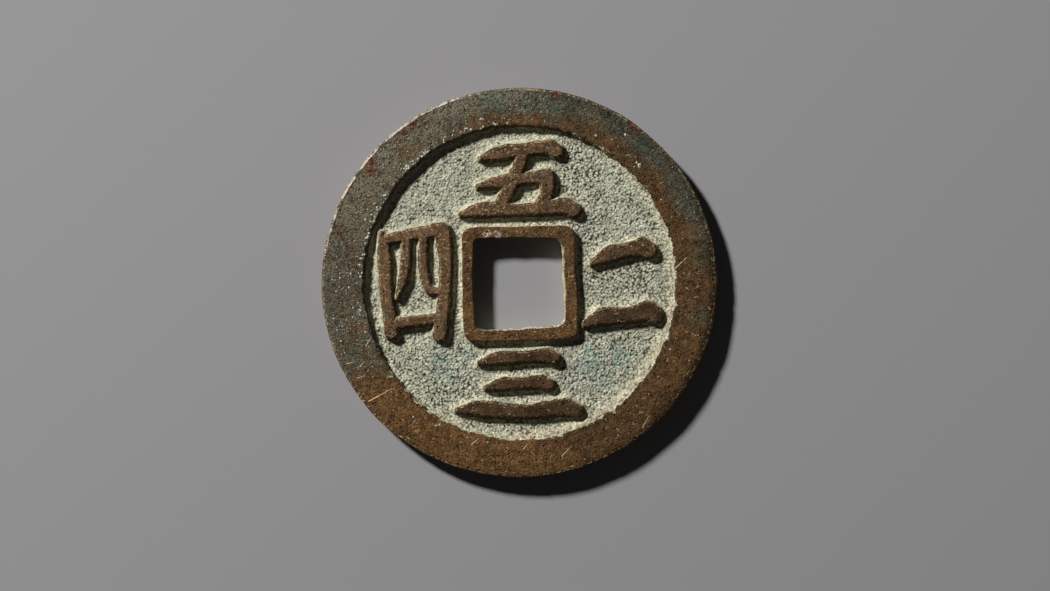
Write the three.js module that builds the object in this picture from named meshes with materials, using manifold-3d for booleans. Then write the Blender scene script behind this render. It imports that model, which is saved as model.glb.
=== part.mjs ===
// A Chinese cash coin: a cast bronze disc with a square hole, two raised rims and four raised numerals.
// Millimetres, +Z up. The coin lies on its plain reverse with the numbered obverse up, and +Y is the
// top of the obverse. The origin is the middle of the hole, on the plane that the coin rests on.
//
// The real coin is one casting. Here its features are closed solids that meet face to face: the rim,
// the thin web of metal inside it, the border of the hole, and the numerals on the web.
import * as THREE from "three";
import Module from "manifold-3d";

// Driving dimensions
const COIN_WIDTH = 24.5;
const COIN_HEIGHT = 24.1; // hand filed, so a little out of round
const THICKNESS = 1.25;
const OBVERSE_RELIEF = 0.5; // the field lies this far below the rims
const REVERSE_RELIEF = 0.15;
const FIELD_WIDTH = 19.1;
const FIELD_HEIGHT = 19.3;
const HOLE_WIDTH = 5.56;
const HOLE_SHARPNESS = 8.3; // exponent of the rounded square: higher is squarer
const BORDER_WIDTH = 0.72; // of the raised border round the hole
const BORDER_SHARPNESS = 12;
const HOLE_TURN = THREE.MathUtils.degToRad(1.6); // the mould's hole sits a little askew
const EDGE_WEAR = { width: 0.15, height: 0.3 }; // of the coin's outer corners, worn round
const RELIEF_WEAR = { width: 0.1, height: 0.1 }; // of every corner of the relief
const WALL_DRAFT = 0.1; // how far a cast wall leans over its height

const FIELD_TOP = THICKNESS - OBVERSE_RELIEF;
const FIELD_BOTTOM = REVERSE_RELIEF;
const BORDER_TOP = THICKNESS - 0.02; // the outer rim stands a touch higher and takes the wear
const NUMERAL_TOP = THICKNESS - 0.03;

// Steps of the curves
const AROUND = 120; // round the coin
const MOVE_STEPS = 5; // from one point of a brush's move to the next
const CAP_STEPS = 6; // round the end of a move
const CORNER_STEPS = 2; // over a worn corner

// The numerals, as moves of the brush: points along its path, each [x, y, half width]. The brush is
// lifted where a move is thin and pressed where it is thick, and a long bar ends in a short dab.
const NUMERALS = {
  numeral_five: [
    [[-2.4, 7.68, 0.2], [-1.2, 8.0, 0.47], [0.6, 8.26, 0.44], [1.9, 8.4, 0.5]],
    [[1.85, 8.38, 0.48], [2.3, 8.14, 0.46]],
    [[0.3, 8.2, 0.38], [-0.15, 6.95, 0.44], [-0.7, 5.7, 0.44], [-1.3, 4.6, 0.44]],
    [[-2.55, 5.95, 0.2], [-1.4, 6.22, 0.42], [0.3, 6.42, 0.39], [1.55, 6.58, 0.48]],
    [[1.68, 6.56, 0.53], [1.7, 5.7, 0.45], [1.3, 4.65, 0.45]],
    [[-3.6, 4.2, 0.2], [-2.3, 4.5, 0.48], [0.2, 4.52, 0.41], [2.85, 4.75, 0.54]],
    [[2.8, 4.73, 0.52], [3.35, 4.5, 0.5]],
  ],
  numeral_two_upper_stroke: [
    [[4.5, 1.2, 0.22], [5.5, 1.75, 0.52], [6.6, 2.02, 0.48], [7.6, 2.25, 0.6]],
    [[7.55, 2.22, 0.58], [8.0, 2.0, 0.54]],
  ],
  numeral_two_lower_stroke: [
    [[4.05, -2.6, 0.22], [5.15, -2.1, 0.58], [6.6, -2.02, 0.5], [7.95, -1.72, 0.66]],
    [[7.9, -1.74, 0.64], [8.35, -1.98, 0.6]],
  ],
  numeral_three_upper_stroke: [
    [[-2.45, -4.95, 0.2], [-1.35, -4.68, 0.44], [0.4, -4.58, 0.39], [1.7, -4.46, 0.48]],
    [[1.65, -4.48, 0.46], [2.12, -4.68, 0.44]],
  ],
  numeral_three_middle_stroke: [
    [[-2.05, -6.52, 0.2], [-1.05, -6.28, 0.42], [0.3, -6.22, 0.37], [1.38, -6.1, 0.46]],
    [[1.33, -6.12, 0.44], [1.78, -6.3, 0.42]],
  ],
  numeral_three_lower_stroke: [
    [[-3.85, -7.9, 0.2], [-2.6, -7.78, 0.52], [0.2, -7.96, 0.46], [2.85, -7.66, 0.58]],
    [[2.8, -7.68, 0.56], [3.45, -7.88, 0.5]],
  ],
  numeral_four: [
    [[-8.55, 3.05, 0.2], [-8.38, 1.8, 0.44], [-8.22, -0.8, 0.42], [-7.9, -3.1, 0.46]],
    [[-8.4, 2.62, 0.34], [-6.6, 2.98, 0.39], [-4.95, 3.25, 0.48]],
    [[-4.78, 3.18, 0.56], [-4.58, 1.4, 0.46], [-4.66, -1.0, 0.42], [-4.92, -3.2, 0.48]],
    [[-7.0, 2.9, 0.32], [-7.03, 1.4, 0.36], [-7.2, 0.2, 0.31], [-7.55, -0.95, 0.15]],
    [[-5.92, 3.0, 0.3], [-5.97, 1.2, 0.33], [-5.82, 0.1, 0.33]],
    [[-5.85, 0.2, 0.32], [-5.6, -0.4, 0.31], [-4.75, -0.62, 0.26]],
    [[-8.0, -2.55, 0.39], [-6.4, -2.36, 0.37], [-4.8, -2.2, 0.4]],
  ],
};

// Outlines round the Z axis, as a radius at an angle. grow moves an outline outwards.
const oval = (width, height) => (angle, grow) =>
  (width + height) / 4 + ((width - height) / 4) * Math.cos(2 * angle) + grow;

const roundedSquare = (width, sharpness) => (angle, grow) => {
  const cos = Math.abs(Math.cos(angle - HOLE_TURN));
  const sin = Math.abs(Math.sin(angle - HOLE_TURN));
  return (width / 2 + grow) / (cos ** sharpness + sin ** sharpness) ** (1 / sharpness);
};

const coinEdge = oval(COIN_WIDTH, COIN_HEIGHT);
const fieldEdge = oval(FIELD_WIDTH, FIELD_HEIGHT);
const borderEdge = roundedSquare(HOLE_WIDTH + 2 * BORDER_WIDTH, BORDER_SHARPNESS);
const holeEdge = roundedSquare(HOLE_WIDTH, HOLE_SHARPNESS);

function closedGeometry(positions, triangles) {
  const geometry = new THREE.BufferGeometry();
  geometry.setAttribute("position", new THREE.Float32BufferAttribute(positions, 3));
  geometry.setIndex(triangles);
  geometry.computeVertexNormals();
  return geometry;
}

// A worn corner of a band: a quarter of an ellipse from the wall at height low to the flat at height
// high, as profile points. wall and flat are how far the outline is grown at its two ends.
function wornCorner(outline, wall, low, flat, high) {
  const corner = [];
  for (let step = 0; step <= CORNER_STEPS; step++) {
    const turn = ((Math.PI / 2) * step) / CORNER_STEPS;
    corner.push([outline, flat + (wall - flat) * Math.cos(turn), low + (high - low) * Math.sin(turn)]);
  }
  return corner;
}

// A band round the Z axis. Its profile lists the corners as [outline, grow, z], up the outside, inwards
// over the top and down the inside.
function band(profile) {
  const positions = [];
  const triangles = [];
  const corners = profile.length;
  for (let step = 0; step < AROUND; step++) {
    const angle = (2 * Math.PI * step) / AROUND;
    for (const [outline, grow, z] of profile) {
      const radius = outline(angle, grow);
      positions.push(radius * Math.cos(angle), radius * Math.sin(angle), z);
    }
    const next = (step + 1) % AROUND;
    for (let corner = 0; corner < corners; corner++) {
      const above = (corner + 1) % corners;
      const a = step * corners + corner;
      const b = next * corners + corner;
      const c = next * corners + above;
      const d = step * corners + above;
      triangles.push(a, b, c, a, c, d);
    }
  }
  return closedGeometry(positions, triangles);
}

// The outline of a brush's move, anticlockwise: up one side of its path, round the end and back. The
// half width rides along the path's curve as its third coordinate.
function moveOutline(points, grow) {
  const path = new THREE.CatmullRomCurve3(points.map((point) => new THREE.Vector3(...point)));
  const steps = MOVE_STEPS * (points.length - 1);
  const right = [];
  const left = [];
  const ends = [];
  for (let step = 0; step <= steps; step++) {
    const at = path.getPoint(step / steps);
    const tangent = path.getTangent(step / steps);
    const along = new THREE.Vector2(tangent.x, tangent.y).normalize();
    const side = new THREE.Vector2(along.y, -along.x);
    const centre = new THREE.Vector2(at.x, at.y);
    const reach = at.z + grow;
    if (step === 0 || step === steps) ends.push({ centre, along, side, reach });
    right.push(centre.clone().addScaledVector(side, reach));
    left.unshift(centre.clone().addScaledVector(side, -reach));
  }
  const cap = ({ centre, along, side, reach }, way) => {
    const round = [];
    for (let step = 1; step < CAP_STEPS; step++) {
      const turn = (Math.PI * step) / CAP_STEPS;
      const sideways = way * Math.cos(turn) * reach;
      const onwards = way * Math.sin(turn) * reach;
      round.push(centre.clone().addScaledVector(side, sideways).addScaledVector(along, onwards));
    }
    return round;
  };
  return [...right, ...cap(ends[1], 1), ...left, ...cap(ends[0], -1)];
}

// A move stands on the field: its walls lean in, and its top edge is worn round.
function brushMove(points) {
  const levels = [
    { grow: WALL_DRAFT, z: FIELD_TOP },
    { grow: 0, z: NUMERAL_TOP - RELIEF_WEAR.height },
    { grow: -RELIEF_WEAR.width, z: NUMERAL_TOP },
  ];
  const rings = levels.map(({ grow }) => moveOutline(points, grow));
  const count = rings[0].length;
  const positions = rings.flatMap((ring, level) =>
    ring.flatMap((point) => [point.x, point.y, levels[level].z]),
  );
  const triangles = [];
  for (let level = 0; level + 1 < levels.length; level++) {
    for (let step = 0; step < count; step++) {
      const next = (step + 1) % count;
      const a = level * count + step;
      const b = level * count + next;
      triangles.push(a, b, b + count, a, b + count, a + count);
    }
  }
  const topStart = (levels.length - 1) * count;
  for (const [a, b, c] of THREE.ShapeUtils.triangulateShape(rings[0], [])) triangles.push(c, b, a);
  for (const [a, b, c] of THREE.ShapeUtils.triangulateShape(rings.at(-1), [])) {
    triangles.push(topStart + a, topStart + b, topStart + c);
  }
  return closedGeometry(positions, triangles);
}

const wasm = await Module();
wasm.setup();

function toSolid(geometry) {
  return new wasm.Manifold(
    new wasm.Mesh({
      numProp: 3,
      vertProperties: geometry.getAttribute("position").array,
      triVerts: new Uint32Array(geometry.index.array),
    }),
  );
}

// Closed shapes that cross, joined into one.
function joined(geometries) {
  const solid = geometries.map(toSolid).reduce((all, one) => all.add(one));
  const mesh = solid.getMesh();
  return closedGeometry(Array.from(mesh.vertProperties), Array.from(mesh.triVerts));
}

const bareBronze = () =>
  new THREE.MeshStandardMaterial({ color: 0x5b432d, roughness: 0.55, metalness: 0.6 });
const crustedBronze = () =>
  new THREE.MeshStandardMaterial({ color: 0x8c8c78, roughness: 0.95, metalness: 0.0 });

const coin = new THREE.Group();

function addFeature(name, geometry, material) {
  const mesh = new THREE.Mesh(geometry, material);
  mesh.name = name;
  coin.add(mesh);
}

addFeature(
  "outer_rim",
  band([
    ...wornCorner(coinEdge, 0, EDGE_WEAR.height, -EDGE_WEAR.width, 0).reverse(),
    ...wornCorner(coinEdge, 0, THICKNESS - EDGE_WEAR.height, -EDGE_WEAR.width, THICKNESS),
    [fieldEdge, WALL_DRAFT + RELIEF_WEAR.width, THICKNESS],
    [fieldEdge, WALL_DRAFT, THICKNESS - RELIEF_WEAR.height],
    [fieldEdge, 0, FIELD_TOP],
    [fieldEdge, 0, FIELD_BOTTOM],
    [fieldEdge, WALL_DRAFT, 0],
  ]),
  bareBronze(),
);
addFeature(
  "field_web",
  band([
    [fieldEdge, 0, FIELD_BOTTOM],
    [fieldEdge, 0, FIELD_TOP],
    [borderEdge, 0, FIELD_TOP],
    [borderEdge, 0, FIELD_BOTTOM],
  ]),
  crustedBronze(),
);
addFeature(
  "inner_rim",
  band([
    [borderEdge, -WALL_DRAFT, 0],
    [borderEdge, 0, FIELD_BOTTOM],
    [borderEdge, 0, FIELD_TOP],
    ...wornCorner(borderEdge, -WALL_DRAFT, BORDER_TOP - RELIEF_WEAR.height, -2 * WALL_DRAFT, BORDER_TOP),
    ...wornCorner(holeEdge, 0, BORDER_TOP - RELIEF_WEAR.height, RELIEF_WEAR.width, BORDER_TOP).reverse(),
    ...wornCorner(holeEdge, 0, RELIEF_WEAR.height, RELIEF_WEAR.width, 0),
  ]),
  bareBronze(),
);
for (const [name, moves] of Object.entries(NUMERALS)) {
  addFeature(name, joined(moves.map(brushMove)), bareBronze());
}

export default coin;
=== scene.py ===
# A Chinese cash coin of cast bronze with its burial crust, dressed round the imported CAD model.
# The coin lies on its plain reverse, numbered obverse up. Shapes are worked out in millimetres in the
# CAD model's own frame and put into the meshes in metres.
import math

import bpy
import numpy as np
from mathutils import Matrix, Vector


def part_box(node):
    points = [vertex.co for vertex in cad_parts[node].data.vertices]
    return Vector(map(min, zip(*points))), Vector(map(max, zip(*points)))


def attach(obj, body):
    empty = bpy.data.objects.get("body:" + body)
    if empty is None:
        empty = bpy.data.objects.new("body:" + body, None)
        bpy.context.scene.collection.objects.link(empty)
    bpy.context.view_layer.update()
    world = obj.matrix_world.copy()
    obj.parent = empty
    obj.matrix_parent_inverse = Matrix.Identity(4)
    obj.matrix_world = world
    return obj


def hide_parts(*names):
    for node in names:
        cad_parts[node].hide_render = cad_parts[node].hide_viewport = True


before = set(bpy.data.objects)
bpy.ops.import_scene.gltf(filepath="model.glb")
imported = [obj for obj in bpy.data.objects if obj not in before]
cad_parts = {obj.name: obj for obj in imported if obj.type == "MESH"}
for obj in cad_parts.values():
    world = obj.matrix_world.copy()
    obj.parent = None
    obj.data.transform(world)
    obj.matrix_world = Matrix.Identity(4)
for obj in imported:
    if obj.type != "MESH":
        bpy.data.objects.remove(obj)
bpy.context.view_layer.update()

bl_info = {
    "name": "Cash coin workshop",
    "version": (1, 0, 0),
    "blender": (4, 5, 0),
    "location": "View3D > Sidebar > Cash Coin",
    "description": "Makes the worn and crusted surface of a Chinese cash coin round its CAD model",
    "category": "Object",
}

MM = 0.001
RIM_LOW, RIM_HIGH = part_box("outer_rim")
WEB_LOW, WEB_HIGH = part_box("field_web")
BORDER_LOW, BORDER_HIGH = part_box("inner_rim")
_, NUMERAL_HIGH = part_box("numeral_five")

# The numerals, as moves of the brush: points along its path, each [x, y, half width] in mm, as in the
# CAD model. The brush is lifted where a move is thin, and a long bar ends in a short dab.
NUMERALS = {
    "numeral_five": [
        [[-2.4, 7.68, 0.2], [-1.2, 8.0, 0.47], [0.6, 8.26, 0.44], [1.9, 8.4, 0.5]],
        [[1.85, 8.38, 0.48], [2.3, 8.14, 0.46]],
        [[0.3, 8.2, 0.38], [-0.15, 6.95, 0.44], [-0.7, 5.7, 0.44], [-1.3, 4.6, 0.44]],
        [[-2.55, 5.95, 0.2], [-1.4, 6.22, 0.42], [0.3, 6.42, 0.39], [1.55, 6.58, 0.48]],
        [[1.68, 6.56, 0.53], [1.7, 5.7, 0.45], [1.3, 4.65, 0.45]],
        [[-3.6, 4.2, 0.2], [-2.3, 4.5, 0.48], [0.2, 4.52, 0.41], [2.85, 4.75, 0.54]],
        [[2.8, 4.73, 0.52], [3.35, 4.5, 0.5]],
    ],
    "numeral_two_upper_stroke": [
        [[4.5, 1.2, 0.22], [5.5, 1.75, 0.52], [6.6, 2.02, 0.48], [7.6, 2.25, 0.6]],
        [[7.55, 2.22, 0.58], [8.0, 2.0, 0.54]],
    ],
    "numeral_two_lower_stroke": [
        [[4.05, -2.6, 0.22], [5.15, -2.1, 0.58], [6.6, -2.02, 0.5], [7.95, -1.72, 0.66]],
        [[7.9, -1.74, 0.64], [8.35, -1.98, 0.6]],
    ],
    "numeral_three_upper_stroke": [
        [[-2.45, -4.95, 0.2], [-1.35, -4.68, 0.44], [0.4, -4.58, 0.39], [1.7, -4.46, 0.48]],
        [[1.65, -4.48, 0.46], [2.12, -4.68, 0.44]],
    ],
    "numeral_three_middle_stroke": [
        [[-2.05, -6.52, 0.2], [-1.05, -6.28, 0.42], [0.3, -6.22, 0.37], [1.38, -6.1, 0.46]],
        [[1.33, -6.12, 0.44], [1.78, -6.3, 0.42]],
    ],
    "numeral_three_lower_stroke": [
        [[-3.85, -7.9, 0.2], [-2.6, -7.78, 0.52], [0.2, -7.96, 0.46], [2.85, -7.66, 0.58]],
        [[2.8, -7.68, 0.56], [3.45, -7.88, 0.5]],
    ],
    "numeral_four": [
        [[-8.55, 3.05, 0.2], [-8.38, 1.8, 0.44], [-8.22, -0.8, 0.42], [-7.9, -3.1, 0.46]],
        [[-8.4, 2.62, 0.34], [-6.6, 2.98, 0.39], [-4.95, 3.25, 0.48]],
        [[-4.78, 3.18, 0.56], [-4.58, 1.4, 0.46], [-4.66, -1.0, 0.42], [-4.92, -3.2, 0.48]],
        [[-7.0, 2.9, 0.32], [-7.03, 1.4, 0.36], [-7.2, 0.2, 0.31], [-7.55, -0.95, 0.15]],
        [[-5.92, 3.0, 0.3], [-5.97, 1.2, 0.33], [-5.82, 0.1, 0.33]],
        [[-5.85, 0.2, 0.32], [-5.6, -0.4, 0.31], [-4.75, -0.62, 0.26]],
        [[-8.0, -2.55, 0.39], [-6.4, -2.36, 0.37], [-4.8, -2.2, 0.4]],
    ],
}

# Patches of stains, specks and bright metal: middle x, y and radius in mm
RED_PATCHES = [
    (-7.1, 9.3, 0.35), (-6.5, 9.65, 0.45), (-5.9, 9.95, 0.3), (-9.1, 7.3, 0.45), (-8.95, 6.85, 0.4),
    (7.0, 9.65, 0.45), (7.4, 9.3, 0.4), (-11.3, 3.5, 0.4), (-11.1, 3.0, 0.3), (2.3, 11.6, 0.5),
]
GREEN_PATCHES = [
    (0.6, 11.0, 0.7), (2.2, 10.8, 1.2), (5.9, 9.9, 0.9), (7.6, 8.6, 1.0), (10.5, 4.9, 0.8),
    (11.4, 1.4, 0.8), (11.3, -2.2, 0.8), (-1.5, 11.2, 1.0),
]
TEAL_PATCHES = [
    (4.4, -5.0, 1.1), (6.2, -4.6, 0.8), (5.0, -5.9, 0.8), (-4.9, -5.1, 1.0), (-3.3, -4.5, 0.7),
]
SPECKLED_PATCHES = [
    (-10.9, -3.0, 1.3), (-10.4, -4.4, 1.3), (-11.0, -1.2, 0.8), (-10.9, 0.8, 0.5), (-10.0, -5.6, 0.8),
    (-7.5, 7.6, 1.9), (-6.2, 8.5, 1.5), (-0.3, 11.3, 2.2), (10.3, 4.6, 0.9),
]
BRIGHT_BORDER_PATCHES = [(-1.9, 2.9, 0.4), (-1.35, 2.85, 0.35)]
YELLOW_PATCHES = [(2.8, -0.7, 0.5), (2.8, -0.1, 0.7), (2.8, 0.5, 0.5), (2.75, 1.25, 0.45), (2.7, 1.95, 0.4)]

# Scratches on the rim: start x, y, end x, y and half width in mm
SCRATCHES = [
    (-9.3, -7.3, -7.9, -6.55, 0.06),
    (9.45, 0.75, 10.3, 1.55, 0.065),
    (-10.7, -5.0, -10.2, -4.9, 0.06),
    (-9.5, -3.9, -9.2, -3.4, 0.055),
    (-2.95, -9.95, -2.5, -9.6, 0.06),
    (-4.85, -11.5, -4.4, -11.15, 0.05),
    (-10.0, -5.87, -9.65, -5.77, 0.05),
    (-9.85, -5.15, -9.6, -4.85, 0.05),
    (0.25, -10.25, 0.5, -9.95, 0.05),
    (2.6, -10.7, 3.2, -10.1, 0.04),
    (7.6, -8.9, 8.0, -8.2, 0.04),
]

# How many crumbs, specks, pits and nicks are scattered, and the largest speck's x, y and size in mm
EDGE_CRUMBS = 150
SWARM_SPECKS = 70
LONE_SPECKS = 30
RIM_PITS = 110
EDGE_NICKS = 60
LARGEST_SPECK = (7.4, 7.2, 0.19)

# How fine the meshes are: rows and columns, steps along and round a brush move, the voxels in mm, and
# the sides of a speck
RING_COLUMNS = 960
FIELD_ROWS = 100
REVERSE_ROWS = 90
REVERSE_COLUMNS = 840
MOVE_STEPS = 14
COARSE_MOVE_STEPS = 8
STROKE_VOXEL = 0.045
SPECK_SIDES = 6

# A patch fades out at this many times its radius.
PATCH_FADE = 1.33

# The height in mm below which a point of the coin rests on the floor
RESTING = 0.01

# The stage, in metres
FLOOR_WIDTH = 1.2
LAMP_DISTANCE = 0.5
LAMP_WIDTH = 0.06

# Large odd numbers that mix a lattice corner and a seed into a random key
X_MIX, Y_MIX, Z_MIX, SEED_MIX, KEY_MIX = 73856093, 19349663, 83492791, 2654435761, 2246822519


def millimetres(length):
    return length / MM


def length_setting(name, description, default):
    return bpy.props.FloatProperty(
        name=name, description=description, default=default, unit="LENGTH", precision=5
    )


def angle_setting(name, description, degrees):
    return bpy.props.FloatProperty(
        name=name, description=description, default=math.radians(degrees), subtype="ANGLE"
    )


def brightness_setting(name, description, default, largest):
    return bpy.props.FloatProperty(
        name=name, description=description, default=default, min=0.0, max=largest
    )


def colour_setting(name, description, *default):
    return bpy.props.FloatVectorProperty(
        name=name, description=description, default=default, subtype="COLOR", size=3
    )


class CoinSizes(bpy.types.PropertyGroup):
    """Sizes of the coin's surface. Those that the CAD model fixes start from its boxes."""

    coin_width: length_setting("Coin width", "Width of the coin, left to right", RIM_HIGH.x - RIM_LOW.x)
    coin_height: length_setting(
        "Coin height", "Height of the coin, bottom to top of the obverse", RIM_HIGH.y - RIM_LOW.y
    )
    thickness: length_setting("Thickness", "Thickness of the coin at its rim", RIM_HIGH.z)
    field_width: length_setting(
        "Field width", "Width of the sunken field inside the rim", WEB_HIGH.x - WEB_LOW.x
    )
    field_height: length_setting(
        "Field height", "Height of the sunken field inside the rim", WEB_HIGH.y - WEB_LOW.y
    )
    hole_width: length_setting("Hole width", "Width of the square hole", 5.56 * MM)
    border_width: length_setting("Border width", "Width of the raised border round the hole", 0.72 * MM)
    hole_turn: angle_setting("Hole turn", "How far the mould's hole is turned askew", 1.6)
    grain: length_setting("Crust grain", "Size of the sandy grains of the field's crust", 0.148 * MM)
    grain_depth: length_setting(
        "Grain depth", "Depth of the hollows between the crust's grains", 0.033 * MM
    )
    crust_pile: length_setting(
        "Crust pile", "Height of the crust piled against the walls of the relief", 0.115 * MM
    )


class CoinColours(bpy.types.PropertyGroup):
    """Colours of the bronze and of what lies on it."""

    bronze: colour_setting("Bronze", "Worn brown bronze of the rim and the border", 0.11, 0.05, 0.0145)
    numeral_bronze: colour_setting("Numeral bronze", "Paler brown of the numerals", 0.12, 0.062, 0.03)
    dark_bronze: colour_setting("Dark bronze", "Tarnish in the hollows of the bronze", 0.043, 0.024, 0.011)
    # Bright metal of rubbed edges and scratches, also painted as glints and sheen on the grain.
    bright_bronze_and_glint: colour_setting(
        "Bright bronze", "Metal rubbed bright on edges and in scratches", 0.46, 0.325, 0.17
    )
    # Painted highlight: pale colour laid on the edge where it faces the lamp, and on bright patches of bare
    # metal on the border.
    highlight_and_bare_metal: colour_setting("Edge shine", "Bare metal along the polished part of the edge", 0.55, 0.455, 0.38)
    film: colour_setting(
        "Mineral film", "Thin grey-green film on the upper part of the rim", 0.115, 0.108, 0.076
    )
    crust: colour_setting("Crust", "Grey-green crust of the open field", 0.388, 0.386, 0.293)
    cream_crust: colour_setting(
        "Cream crust", "Pale crust against the walls of the relief", 0.452, 0.43, 0.304
    )
    # Dark mineral in the crust's hollows, partly painted shade.
    crust_pits: colour_setting(
        "Crust pits", "Dark hollows between the grains of the crust", 0.036, 0.037, 0.024
    )
    red: colour_setting("Red corrosion", "Dark red patches at the coin's edge", 0.066, 0.017, 0.011)
    green: colour_setting("Green corrosion", "Green stains on the rim", 0.056, 0.092, 0.063)
    teal: colour_setting("Teal grains", "Blue-green grains in the field", 0.18, 0.48, 0.46)
    pale_mineral: colour_setting("Pale mineral", "Small specks stuck to the rim", 0.5, 0.48, 0.41)
    yellow: colour_setting("Yellow crust", "Yellow-green crust inside the square hole", 0.46, 0.45, 0.22)


class CoinStudio(bpy.types.PropertyGroup):
    """The stage, the lamps and the camera."""

    floor_colour: colour_setting("Floor", "Colour of the plain floor", 0.272, 0.265, 0.268)
    lamp_elevation: angle_setting("Lamp elevation", "Height of the lamp above the horizon", 31.5)
    lower_lamp_elevation: angle_setting(
        "Lower lamp elevation", "Height of the lamp under the floor, which lights the reverse", -62
    )
    lamp_strength: brightness_setting(
        "Lamp strength", "How bright a level white sheet looks in the lamp, where 1 is white", 0.95, 2.0
    )
    fill_strength: brightness_setting(
        "Fill strength", "How bright a white sheet looks in the even light from all round", 0.028, 2.0
    )
    backdrop_strength: brightness_setting(
        "Backdrop", "How bright the backdrop looks, where 1 is white", 0.5, 1.0
    )
    frame_width: length_setting("Frame width", "Width of the view at the top of the coin", 64.8 * MM)


# Noise and masks on arrays of points, in mm


def scattered_directions(count, seed):
    """Unit vectors spread evenly over the sphere at random."""
    vectors = np.random.default_rng(seed).normal(size=(count, 3))
    return vectors / np.linalg.norm(vectors, axis=1, keepdims=True)


DIRECTIONS = scattered_directions(256, 5)


def smooth_noise(points, size, seed):
    """Gradient noise from about -1 to 1 whose lumps have the given size.

    Each corner of a cubic lattice holds a random direction, picked by a key mixed from its place and the
    seed. A point adds up, over the eight corners of its cell, the dot product of the corner's direction
    with the offset from it, weighted by a quintic ease along each axis.
    """
    place = points / size
    cell = np.floor(place).astype(np.int64)
    offset = place - cell
    ease = offset**3 * (offset * (offset * 6 - 15) + 10)
    total = np.zeros(points.shape[:-1])
    for corner in np.ndindex(2, 2, 2):
        x, y, z = np.moveaxis(cell + corner, -1, 0)
        key = (x * X_MIX) ^ (y * Y_MIX) ^ (z * Z_MIX) ^ (seed * SEED_MIX)
        key = ((key ^ (key >> 15)) * KEY_MIX) & 0xFFFFFFFF
        direction = DIRECTIONS[(key ^ (key >> 13)) % len(DIRECTIONS)]
        weight = np.prod(np.where(np.array(corner) == 1, ease, 1 - ease), axis=-1)
        total += weight * np.sum(direction * (offset - corner), axis=-1)
    return 1.6 * total


def layered_noise(points, size, layers, seed):
    """Smooth noise added up in layers, each half the size and half the strength of the last."""
    return sum(smooth_noise(points, size / 2**k, seed + k) / 2**k for k in range(layers))


def ease_between(low, high, value):
    """0 below low and 1 above high, with a cubic ease between them."""
    share = np.clip((value - low) / (high - low), 0, 1)
    return share * share * (3 - 2 * share)


def fade_between(low, high, value):
    """1 below low and 0 above high, with a cubic ease between them."""
    return 1 - ease_between(low, high, value)


def lobe(angle, middle, spread):
    """1 round the middle and 0 from 1.2 spreads away. The angle is in radians, the others in degrees."""
    away = np.abs((np.degrees(angle) - middle + 180) % 360 - 180)
    return fade_between(0.5 * spread, 1.2 * spread, away)


def falling_off(distance, reach, power):
    """1 at a wall, falling off with the distance from it: e to minus a power of the distance in reaches."""
    return np.exp(-((np.maximum(distance, 0) / reach) ** power))


def patch_mask(points, patches):
    """1 in the middle of each patch, falling off evenly to 0 where it fades out."""
    mask = np.zeros(points.shape[:-1])
    for x, y, radius in patches:
        away = np.hypot(points[..., 0] - x, points[..., 1] - y) / radius
        mask = np.maximum(mask, np.clip(1 - away / PATCH_FADE, 0, 1))
    return mask


def dents(points, centres, radii, depths):
    """The depth of the deepest dent at each point. Each is a parabola of its own radius and depth."""
    deepest = np.zeros(points.shape[:-1])
    for centre, radius, depth in zip(centres, radii, depths):
        away = np.linalg.norm(points - centre, axis=-1) / radius
        deepest = np.maximum(deepest, depth * np.clip(1 - away * away, 0, 1))
    return deepest


# Outlines round the Z axis, as a radius in mm at an angle


def oval(width, height):
    """The mean of the half width and half height, plus half their difference as a wave of two turns."""
    return lambda angle: (width + height) / 4 + (width - height) / 4 * np.cos(2 * angle)


def rounded_square(width, left_sharpness, right_sharpness, turn):
    """A superellipse: half the width over the sharpness-norm of the turned direction.

    Its left corners may be sharper than its right ones. The two halves meet where the norm is 1.
    """

    def outline(angle):
        cos, sin = np.cos(angle - turn), np.abs(np.sin(angle - turn))
        sharpness = np.where(cos < 0, left_sharpness, right_sharpness)
        return width / 2 / (np.abs(cos) ** sharpness + sin**sharpness) ** (1 / sharpness)

    return outline


def shifted(outline, x, y):
    """The outline moved by a small x and y in mm: their share along each direction is added."""
    return lambda angle: outline(angle) + x * np.cos(angle) + y * np.sin(angle)


def ragged(outline, depth, size, seed):
    """The outline with layered noise of that depth and lump size, read along it so that it closes."""

    def rough(angle):
        radius = outline(angle)
        places = np.stack([radius * np.cos(angle), radius * np.sin(angle), 0 * angle], axis=-1)
        return radius + depth * layered_noise(places, size, 3, seed)

    return rough


def coin_outlines(sizes):
    """The outlines that the coin's pieces share, by name."""
    hole = millimetres(sizes.hole_width)
    border = hole + 2 * millimetres(sizes.border_width)
    edge = oval(millimetres(sizes.coin_width), millimetres(sizes.coin_height))
    field = oval(millimetres(sizes.field_width), millimetres(sizes.field_height))
    border_outline = shifted(rounded_square(border, 12, 12, sizes.hole_turn), 0.0, -0.06)
    hole_outline = shifted(rounded_square(hole, 20, 9, sizes.hole_turn), -0.08, -0.04)
    return {
        "edge": ragged(edge, 0.035, 2.5, 21),
        "field": ragged(ragged(field, 0.07, 1.8, 22), 0.045, 0.5, 25),
        "border": ragged(border_outline, 0.05, 1.4, 23),
        "hole": ragged(hole_outline, 0.045, 1.2, 24),
    }


# Profiles of the ring pieces: rows of share, grow and z. share goes from 0 on the outer outline to 1 on
# the inner one. grow moves the row outwards, and z is its height, both in mm.


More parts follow.
